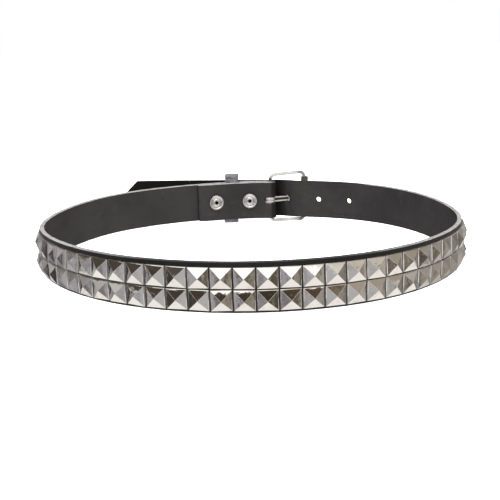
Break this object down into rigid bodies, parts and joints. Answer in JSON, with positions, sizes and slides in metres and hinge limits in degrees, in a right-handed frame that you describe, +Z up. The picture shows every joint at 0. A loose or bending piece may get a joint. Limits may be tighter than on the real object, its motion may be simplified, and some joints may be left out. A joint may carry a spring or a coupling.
{
  "type": "studded belt",
  "caption": "Leather belt fastened into a standing loop, with rows of square pyramid studs outside, a wire buckle with a loose roller, a folded end held by two snaps, a keeper and a pointed tail.",
  "frame": {"origin": "under the middle of the belt's bounding box, on the surface that it stands on", "axes": "+X to the viewer's right along the loop's longer width, +Y towards the buckle at the back, +Z up across the strap's width"},
  "size_m": [0.3456, 0.3116, 0.0472],
  "materials": {
    "leather": "charcoal flesh side, near-black satin finish outside",
    "keeper_leather": "grey, raw and fibrous",
    "studs": "bright nickel plating with small dents and scratches",
    "hardware": "bright nickel plating, slightly duller than the studs"
  },
  "bodies": {
    "root": {"strap": "leather", "studs_lower": "studs", "studs_upper": "studs", "buckle_frame": "hardware", "roller": "hardware", "prong": "hardware", "keeper": "keeper_leather", "snap_1": "hardware", "snap_2": "hardware"}
  },
  "joints": []
}
